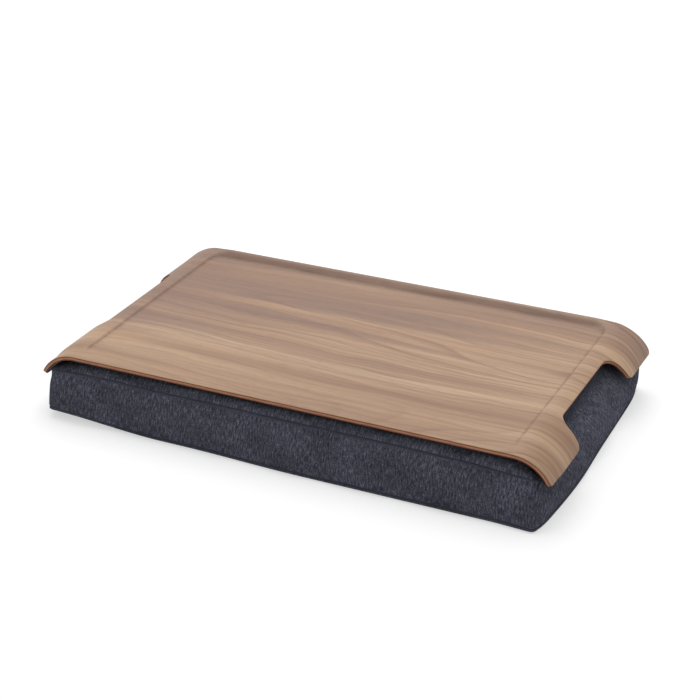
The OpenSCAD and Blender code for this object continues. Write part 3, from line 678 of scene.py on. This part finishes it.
def ring_points(r, st, depth=0.0, inset=0.0):
    """Points of one ring at each station, at a depth under the skin and drawn in by inset."""
    ax, ay, angle, side = st.T
    w, d = (r[k] - depth * r["inward"][0] - inset for k in "wd")
    # the innermost rings are narrow: with a larger corner they would cross over themselves
    corner_r = min(max(0.3, r["r"] - depth * r["inward"][0]), 0.6 * d)
    corner = side == 4
    along_x, along_y = 1 - ax**6, 1 - ay**8
    drawn = np.where((side == 3) & (ay < 0), ease((1 + ay) / LEFT_HOLD), along_y)
    x = np.where(corner, ax * (w - corner_r) + corner_r * np.cos(angle),
                 np.where(side % 2 == 0, ax * (w - corner_r), ax * w))
    y = np.where(corner, ay * (d - corner_r) + corner_r * np.sin(angle),
                 np.where(side % 2 == 1, ay * (d - corner_r), ay * d))
    x += (np.where(side == 1, 1, np.where(side == 3, -1, 0))
          * (r["end"] * along_y - r["draw"] * drawn))
    y -= (side == 0) * r["bulge"] * along_x
    x += (ax > 0.99) * REAR_FULLNESS * r["full"] * ease((ay - 0.3) / 0.7)
    x += (side == 1) * r["point"] * END_SKEW * (np.exp(-((ay + 0.35) / 0.35) ** 2)
                                               - 0.5 * np.exp(-((ay - 0.7) / 0.4) ** 2))
    x -= LEFT_FLARE * r["lean"] * (1 - ay) / 2 * (1 - ax) / 2
    y += FRONT_LEAN * r["lean"] * (1 - ay) / 2
    corner_share = (ease(1 - (CUSHION_W / 2 - x) / POINT_RUN)
                    * ease(1 - (y + CUSHION_D / 2 - FRONT_LEAN * r["lean"]) / (POINT_RUN / 2)))
    x = x + RIGHT_FLARE * r["lean"] * corner_share
    front = ease(1 - (y + CUSHION_D / 2) / POINT_RUN) * r["point"]
    right = ease(1 - (CUSHION_W / 2 - x) / POINT_RUN) * front
    left = ease(1 - (x + CUSHION_W / 2) / POINT_RUN) * front
    recess = ease((LEFT_FROM - x) / LEFT_RUN) * front
    x = x + FRONT_POINT[0] * right + LEFT_TUCK * left
    y = y - FRONT_POINT[1] * right + LEFT_BACK * recess
    near = ease(1 - (x + CUSHION_W / 2) / LIFT_RUN) * ease(1 - (y + CUSHION_D / 2) / LIFT_RUN)
    ends = (side == 1) | (side == 3)
    z = (r["z"] + ends * r["end_lift"] * drawn**2 + (side == 0) * r["crown"] * along_x
         + CORNER_LIFT * r["lift"] * near + depth * r["inward"][1])
    return np.stack([x + CUSHION_X, y + CUSHION_Y, z], 1)


def cap_inwards(kind, start, pitch):
    """Rings from an edge at start to the middle line of the plan."""
    run = CROWN_RUN if kind == "crown" else 1
    end = (CUSHION_D / 2 - MIDDLE_HALF) / run
    return [ring(kind, at) for at in np.linspace(start, end, round((end - start) * run / pitch))]


def close_middle(numbers, st):
    """Faces that close the last, narrow ring: front stations face the rear ones."""
    front, rear = (np.flatnonzero(st[:, 3] == k) for k in (0, 2))
    rear = rear[::-1]
    n = min(len(front), len(rear))
    a, b = numbers[front[:n]], numbers[rear[:n]]
    faces = [(a[i], a[i + 1], b[i + 1], b[i]) for i in range(n - 1)]
    total = len(st)
    right = [numbers[i] for i in range(front[n - 1], rear[n - 1] + 1)]
    left = [numbers[i % total] for i in range(rear[0], total)] + [numbers[front[0]]]
    return faces + [tuple(right), tuple(left)]


def skin_mesh(pitch, ring_pitch, depth=0.0, grooves=True):
    """The whole closed skin: (points, faces, panel of each face, uvs, panel and station of each
    point, seam strength of each point)."""
    st = stations(pitch, CORNER_STEPS if grooves else CORNER_STEPS // 2)
    rings, insets, panels = [], [], []

    def add(r, panel, inset=0.0):
        rings.append(r)
        insets.append(inset)
        panels.append(panel)

    for r in cap_inwards("base", BASE_EDGE, 3 * ring_pitch)[::-1]:
        add(r, "base")
    add(ring("base", 2.2), "base")
    add(ring("base", 1.0), "base")
    add(ring("base", 0.4) | dict(z=LOW_Z - BASE_TURN, r=CORNER_R), "base")
    wall_h = HIGH_Z - LOW_Z
    if grooves:
        add(ring("wall", 0) | dict(z=LOW_Z - SEAM_FOOT), "base", 0.3)
        add(ring("wall", 0), "wall", LOW_GROOVE)
        inside = np.linspace(1.1 / wall_h, 1 - 1.1 / wall_h, round(wall_h / ring_pitch))
        for t in sorted(list(inside) + [ZIP_T[0], ZIP_T[1]]):
            add(ring("wall", t), "wall", 0.1)
        add(ring("wall", 1), "top", HIGH_GROOVE)
        add(ring("crown", 1.3 / CROWN_RUN), "top", 0.0)
    else:
        for t in np.linspace(0, 1, round(wall_h / ring_pitch)):
            add(ring("wall", t), "wall")
    for r in cap_inwards("crown", 2.8 / CROWN_RUN if grooves else 4 / CROWN_RUN, ring_pitch):
        add(r, "top")
    points = np.array([ring_points(r, st, depth, i) for r, i in zip(rings, insets)])
    count = len(st)
    numbers = np.arange(len(rings) * count).reshape(len(rings), count)
    faces, face_panels = [], []
    for k in range(len(rings) - 1):
        for i in range(count):
            j = (i + 1) % count
            faces.append((numbers[k, i], numbers[k, j], numbers[k + 1, j], numbers[k + 1, i]))
            side = st[i, 3]
            panel = panels[k] if panels[k] != "wall" else ("front" if side % 2 == 0 else "end")
            face_panels.append(panel)
    top, base = close_middle(numbers[-1], st), close_middle(numbers[0], st)
    faces += top + [tuple(reversed(f)) for f in base]
    face_panels += ["top"] * len(top) + ["base"] * len(base)
    flat = points.reshape(-1, 3)
    walls = [k for k, panel in enumerate(panels) if panel == "wall"]
    pitches = np.linalg.norm(np.diff(points[walls[len(walls) // 2]], axis=0), axis=1)
    around = np.concatenate([[0], np.cumsum(pitches)])
    climbs = np.linalg.norm(np.diff(points, axis=0), axis=2)
    up = np.concatenate([np.zeros((1, count)), np.cumsum(climbs, axis=0)])
    uv_wall = np.stack([np.tile(around, len(rings)), (up - up[walls[0]]).ravel()], 1)
    on_wall = np.repeat([p == "wall" for p in panels], count)
    uvs = np.where(on_wall[:, None], uv_wall, flat[:, :2])
    seams = np.repeat([1.0 if i > 1 else 0.0 for i in insets], count)
    return (flat, faces, face_panels, uvs, np.repeat(panels, count), np.tile(st, (len(rings), 1)),
            seams)


def undulate(points, panels, st):
    """Slow unevenness of a stuffed wall, and the small pinches near the front right corner."""
    x, y, z = points.T
    side = st[:, 3]
    along = np.where(side % 2 == 0, x, y)
    wave = (np.sin(along / 31 + 0.7) * np.sin(z / 17 + 0.4) + 0.7 * np.sin(along / 13.5 + z / 23)
            + 0.5 * np.sin(along / 57 - 1.1))
    wall = (panels == "wall") & (side != 4)
    up = np.clip((z - LOW_Z) / (HIGH_Z - LOW_Z), 0, 1)
    push = 0.55 * wave * np.sin(math.pi * up) * wall
    points[:, 1] += np.where(side == 0, -push, 0)
    points[:, 0] += np.where(side == 1, push, np.where(side == 3, -push, 0))
    corner_x = CUSHION_X + CUSHION_W / 2 - END_TAPER
    for reach, height, width, depth in ((14, 42, 3.0, 1.2), (36, 47, 2.6, 1.2)):
        run = ease(1 - (corner_x - x) / reach) * (x < corner_x + 4)
        line = height + (corner_x - x) * 0.18
        pinch = depth * run * np.exp(-((z - line) / width) ** 2)
        points[:, 1] += np.where((side == 0) | ((side == 4) & (y < 0)), pinch, 0)
    return points


def inflate(piece, pinned, caps, pressure, fullness, frames):
    """A cloth simulation that fills the skin out between its pinned seams. No point moves further
    than its cap."""
    rest = np.empty(len(piece.data.vertices) * 3, np.float32)
    piece.data.vertices.foreach_get("co", rest)
    rest = rest.reshape(-1, 3)
    group = piece.vertex_groups.new(name="pinned")
    group.add([int(i) for i in np.flatnonzero(pinned)], 1.0, "REPLACE")
    modifier = piece.modifiers.new("Cloth", "CLOTH")
    cloth = modifier.settings
    cloth.quality = 5
    cloth.mass = 0.2
    cloth.tension_stiffness = cloth.compression_stiffness = 18
    cloth.shear_stiffness = 8
    cloth.bending_stiffness = 0.6
    cloth.air_damping = 2
    cloth.vertex_group_mass = group.name
    cloth.use_pressure = True
    cloth.uniform_pressure_force = pressure
    cloth.shrink_min = -fullness
    cloth.effector_weights.gravity = 0
    modifier.collision_settings.use_collision = False
    modifier.point_cache.frame_start, modifier.point_cache.frame_end = 1, frames
    scene = bpy.context.scene
    for number in range(1, frames + 1):
        scene.frame_set(number)
    shaped = piece.evaluated_get(bpy.context.evaluated_depsgraph_get()).data
    moved = np.empty(len(rest) * 3, np.float32)
    shaped.vertices.foreach_get("co", moved)
    shift = moved.reshape(-1, 3) - rest
    length = np.linalg.norm(shift, axis=1)
    limit = caps * MM
    shift *= (limit * np.tanh(length / np.maximum(limit, 1e-9)) / np.maximum(length, 1e-9))[:, None]
    piece.modifiers.remove(modifier)
    piece.vertex_groups.remove(group)
    piece.data.vertices.foreach_set("co", (rest + shift).astype(np.float32).ravel())
    piece.data.update()
    scene.frame_set(1)


def make_cover():
    points, faces, face_panels, uvs, panels, st, seams = skin_mesh(PITCH, RING_PITCH)
    points = undulate(points, panels, st)
    slots = {"front": 0, "end": 1, "top": 2, "base": 3}
    heights = points[:, 2].copy()
    zip_low, zip_high = (LOW_Z + (HIGH_Z - LOW_Z) * t for t in ZIP_T)
    piece = make_piece("cushion_cover", points, faces, uvs, [slots[p] for p in face_panels])
    wear(piece, CLOTH_FRONT, CLOTH_END, CLOTH_TOP, BASE_CLOTH)
    wall = panels == "wall"
    # Painted shade: dark lines along the seams, and a dark front left corner where the cloth turns
    # away into shadow.
    left_corner = (st[:, 3] == 4) & (st[:, 0] < 0) & (st[:, 1] < 0) & (st[:, 2] < math.radians(230))
    point_value(piece, "shade", np.maximum(SEAM_SHADE * seams, LEFT_SHADE * left_corner * wall))
    seam = wall & (heights < LOW_Z + 0.2)
    rear_zip = (st[:, 3] == 2) & wall & (heights > zip_low - 2) & (heights < zip_high + 2)
    under_tray = (panels == "top") & (heights > TOP_Z - 1.2)
    first_top = np.flatnonzero(panels == "top")[:len(stations(PITCH, CORNER_STEPS))]
    pinned = (panels == "base") | seam | rear_zip | under_tray
    pinned[first_top] = True
    caps = np.where(panels == "top", 1.2, 2.6)
    inflate(piece, pinned, caps, pressure=3.0, fullness=0.012, frames=18)
    open_slot(piece, st, panels, heights, zip_low, zip_high)
    smooth = piece.modifiers.new("Subdivision", "SUBSURF")
    smooth.levels = smooth.render_levels = 1
    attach(piece, "cushion")
    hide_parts("cover_top_panel", "cover_front_panel", "cover_right_panel",
                "cover_left_panel", "cover_rear_upper_panel", "cover_rear_lower_panel",
                "cover_bottom_panel")
    return piece


def open_slot(piece, st, panels, heights, zip_low, zip_high):
    """Folds the cloth between the zip's two lips in behind the tapes."""
    points = np.empty(len(piece.data.vertices) * 3, np.float32)
    piece.data.vertices.foreach_get("co", points)
    points = points.reshape(-1, 3)
    in_slot = ((st[:, 3] == 2) & (panels == "wall") & (heights > zip_low + 0.5)
               & (heights < zip_high - 0.5))
    points[in_slot, 1] -= SLOT_DEPTH * MM
    piece.data.vertices.foreach_set("co", points.ravel())
    piece.data.update()


make_cover()


def make_inner(name, depth, material, nodes):
    """The cover's form again, at a depth under it, coarser and without its grooves."""
    points, faces, _, uvs, *_ = skin_mesh(INNER_PITCH, INNER_RING_PITCH, depth, grooves=False)
    piece = make_piece(name, points, faces, uvs)
    wear(piece, material)
    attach(piece, "cushion")
    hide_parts(*nodes)
    return piece


make_inner("bead_bag", 3.6, LINING, ["inner_bag_lower", "inner_bag_upper"])
make_inner("bead_fill", 4.3, BEADS, ["bead_filling"])


# ---- zip and fasteners ----
ZIP_LEN, TOOTH_PITCH, WIRE_R = 500.0, 1.5, 0.22


def make_coil(name, node, side):
    """One row of the zip: a flattened spiral wire along its tape."""
    low, high = (np.array(corner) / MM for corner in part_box(node))
    centre = (low + high) / 2
    turns = round(ZIP_LEN / TOOTH_PITCH)
    steps, around = 8, 5
    angle = np.arange(turns * steps + 1) * 2 * math.pi / steps
    along = low[0] + (high[0] - low[0]) * angle / angle[-1]
    half = (high - low) / 2 - WIRE_R
    path = np.stack([along, centre[1] + half[1] * np.sin(angle) * side,
                     centre[2] + half[2] * np.cos(angle)], 1)
    forward = np.gradient(path, axis=0)
    forward /= np.linalg.norm(forward, axis=1, keepdims=True)
    across = np.cross(forward, (1, 0, 0))
    across /= np.linalg.norm(across, axis=1, keepdims=True)
    up = np.cross(forward, across)
    circle = np.arange(around) * 2 * math.pi / around
    section = (np.cos(circle)[None, :, None] * across[:, None]
               + np.sin(circle)[None, :, None] * up[:, None])
    points = (path[:, None] + WIRE_R * section).reshape(-1, 3)
    faces = [(k * around + i, k * around + (i + 1) % around, (k + 1) * around + (i + 1) % around,
              (k + 1) * around + i) for k in range(len(path) - 1) for i in range(around)]
    faces += [tuple(range(around))[::-1], tuple(range(len(points) - around, len(points)))]
    piece = make_piece(name, points, faces)
    wear(piece, NYLON)
    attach(piece, "cushion")
    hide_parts(node)
    return piece


make_coil("zip_teeth_upper", "zip_coil_upper", 1)
make_coil("zip_teeth_lower", "zip_coil_lower", -1)


def soften(name, node, body, material, width):
    """A CAD node's own shape with its edges rounded."""
    mesh = bmesh.new()
    mesh.from_mesh(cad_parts[node].data)
    bmesh.ops.remove_doubles(mesh, verts=mesh.verts, dist=0.002 * MM)
    bmesh.ops.dissolve_limit(mesh, angle_limit=math.radians(1), verts=mesh.verts, edges=mesh.edges)
    data = bpy.data.meshes.new(name)
    mesh.to_mesh(data)
    mesh.free()
    piece = bpy.data.objects.new(name, data)
    bpy.context.scene.collection.objects.link(piece)
    bevel = piece.modifiers.new("Bevel", "BEVEL")
    bevel.width, bevel.segments = width * MM, 2
    bevel.limit_method, bevel.angle_limit = "ANGLE", math.radians(35)
    wear(piece, material)
    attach(piece, body)
    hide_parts(node)
    return piece


soften("slider_body", "zip_slider", "zip_slider", METAL, 0.12)
soften("pull_tab", "zip_pull_tab", "zip_pull", METAL, 0.14)
soften("zip_stops", "zip_end_stops", "cushion", METAL, 0.2)
for node, material in (("zip_tape_upper", TAPE), ("zip_tape_lower", TAPE),
                       ("tray_hook_patches", PILE), ("cushion_loop_patches", PILE)):
    wear(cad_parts[node], material)


def make_stitches(name, height):
    """A row of thread stitches along a lip of the zip: each is an arch, 5 rows of 4 points."""
    pitch, length, margin = 3.0, 2.1, 9.0
    low, high = (np.array(corner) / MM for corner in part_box("cover_rear_lower_panel"))
    wall_y = high[1]
    faces, points = [], []
    for x in np.arange(low[0] + margin, high[0] - margin, pitch):
        start = len(points)
        for share in np.linspace(0, 1, 5):
            lift = 0.28 * math.sin(math.pi * share)
            for turn in np.linspace(0, math.pi, 4):
                points.append((x + share * length, wall_y - 0.12 + lift * math.sin(turn) + 0.1,
                               height + 0.24 * math.cos(turn)))
        for k in range(4):
            for i in range(3):
                a = start + k * 4 + i
                faces.append((a, a + 1, a + 5, a + 4))
    piece = make_piece(name, np.array(points), faces)
    wear(piece, TAPE)
    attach(piece, "cushion")
    return piece


for name, t, shift in (("stitches_lower", ZIP_T[0], -2.2), ("stitches_upper", ZIP_T[1], 2.2)):
    make_stitches(name, LOW_Z + (HIGH_Z - LOW_Z) * t + shift)


# ---- camera, as fitted to the photograph ----
AZIMUTH, ELEVATION, ROLL = (math.radians(a) for a in (25.364, 26.278, -0.271))
DISTANCE, FOCAL_PX, PHOTO_PX, SENSOR = 1907.5, 1795.8, 700, 36
CENTRE_PX = (350.28, 349.4)
TARGET = Vector((2.26, TRAY_Y, 56))


def make_camera():
    back = Vector((math.sin(AZIMUTH) * math.cos(ELEVATION),
                   -math.cos(AZIMUTH) * math.cos(ELEVATION), math.sin(ELEVATION)))
    right = (-back).cross(Vector((0, 0, 1))).normalized()
    up = right.cross(-back)
    turned = right * math.cos(ROLL) + up * math.sin(ROLL)
    upright = -right * math.sin(ROLL) + up * math.cos(ROLL)
    data = bpy.data.cameras.new("camera")
    data.sensor_width = SENSOR
    data.lens = FOCAL_PX / PHOTO_PX * SENSOR
    data.shift_x = -(CENTRE_PX[0] - PHOTO_PX / 2) / PHOTO_PX
    data.shift_y = (CENTRE_PX[1] - PHOTO_PX / 2) / PHOTO_PX
    data.clip_end = 50
    camera = bpy.data.objects.new("camera", data)
    bpy.context.scene.collection.objects.link(camera)
    axes = Matrix((turned, upright, back)).transposed().to_4x4()
    camera.matrix_world = Matrix.Translation((TARGET + back * DISTANCE) * MM) @ axes
    bpy.context.scene.camera = camera


make_camera()


# ---- floor and light ----
def make_floor():
    """A pale grey floor. The camera alone sees a share of glow in it, which makes it white."""
    half, grey, glow_share = 6000.0, 0.86, 0.36
    corners = np.array([(-1, -1, 0), (1, -1, 0), (1, 1, 0), (-1, 1, 0)]) * half
    floor = make_piece("floor", corners, [(0, 1, 2, 3)])
    material = bpy.data.materials.new("floor")
    material.use_nodes = True
    tree = material.node_tree
    tree.nodes.clear()
    out = tree.nodes.new("ShaderNodeOutputMaterial")
    plain = tree.nodes.new("ShaderNodeBsdfDiffuse")
    plain.inputs["Color"].default_value = (grey, grey, grey, 1)
    glow = tree.nodes.new("ShaderNodeEmission")
    glow.inputs["Strength"].default_value = 1.5
    ray = tree.nodes.new("ShaderNodeLightPath")
    share = tree.nodes.new("ShaderNodeMath")
    share.operation = "MULTIPLY"
    share.inputs[1].default_value = glow_share
    tree.links.new(ray.outputs["Is Camera Ray"], share.inputs[0])
    both = tree.nodes.new("ShaderNodeMixShader")
    tree.links.new(share.outputs[0], both.inputs[0])
    tree.links.new(plain.outputs[0], both.inputs[1])
    tree.links.new(glow.outputs[0], both.inputs[2])
    tree.links.new(both.outputs[0], out.inputs["Surface"])
    floor.data.materials.append(material)


def make_world(front, rear):
    """A studio sky that is brighter behind the tray than on the camera's side."""
    world = bpy.data.worlds.new("studio")
    bpy.context.scene.world = world
    world.use_nodes = True
    tree = world.node_tree
    light = tree.nodes["Background"]
    light.inputs["Color"].default_value = (1, 1, 1, 1)
    ray = tree.nodes.new("ShaderNodeLightPath")
    seen = tree.nodes.new("ShaderNodeMath")
    seen.operation = "MAXIMUM"
    tree.links.new(ray.outputs["Is Camera Ray"], seen.inputs[0])
    tree.links.new(ray.outputs["Is Glossy Ray"], seen.inputs[1])
    direction = tree.nodes.new("ShaderNodeTexCoord")
    parts = tree.nodes.new("ShaderNodeSeparateXYZ")
    back = tree.nodes.new("ShaderNodeMapRange")
    back.interpolation_type = "SMOOTHSTEP"
    for name, value in (("From Min", -0.7), ("From Max", 0.9), ("To Min", front), ("To Max", rear)):
        back.inputs[name].default_value = value
    level = tree.nodes.new("ShaderNodeMapRange")
    level.inputs["To Max"].default_value = 1.0
    tree.links.new(direction.outputs["Generated"], parts.inputs[0])
    tree.links.new(parts.outputs["Y"], back.inputs["Value"])
    tree.links.new(back.outputs[0], level.inputs["To Min"])
    tree.links.new(seen.outputs[0], level.inputs["Value"])
    tree.links.new(level.outputs[0], light.inputs["Strength"])


def make_light(name, place, aim, size, power):
    """A round area lamp at place, turned towards aim."""
    data = bpy.data.lights.new(name, "AREA")
    data.shape, data.size, data.energy = "DISK", size, power
    lamp = bpy.data.objects.new(name, data)
    bpy.context.scene.collection.objects.link(lamp)
    lamp.location = place
    lamp.rotation_euler = (Vector(aim) - Vector(place)).to_track_quat("-Z", "Y").to_euler()


make_floor()
make_world(0.42, 0.75)
make_light("key", (-0.5, 0.9, 2.1), (0, 0, 0.04), 2.0, 30)
bpy.context.scene.view_settings.view_transform = "Standard"
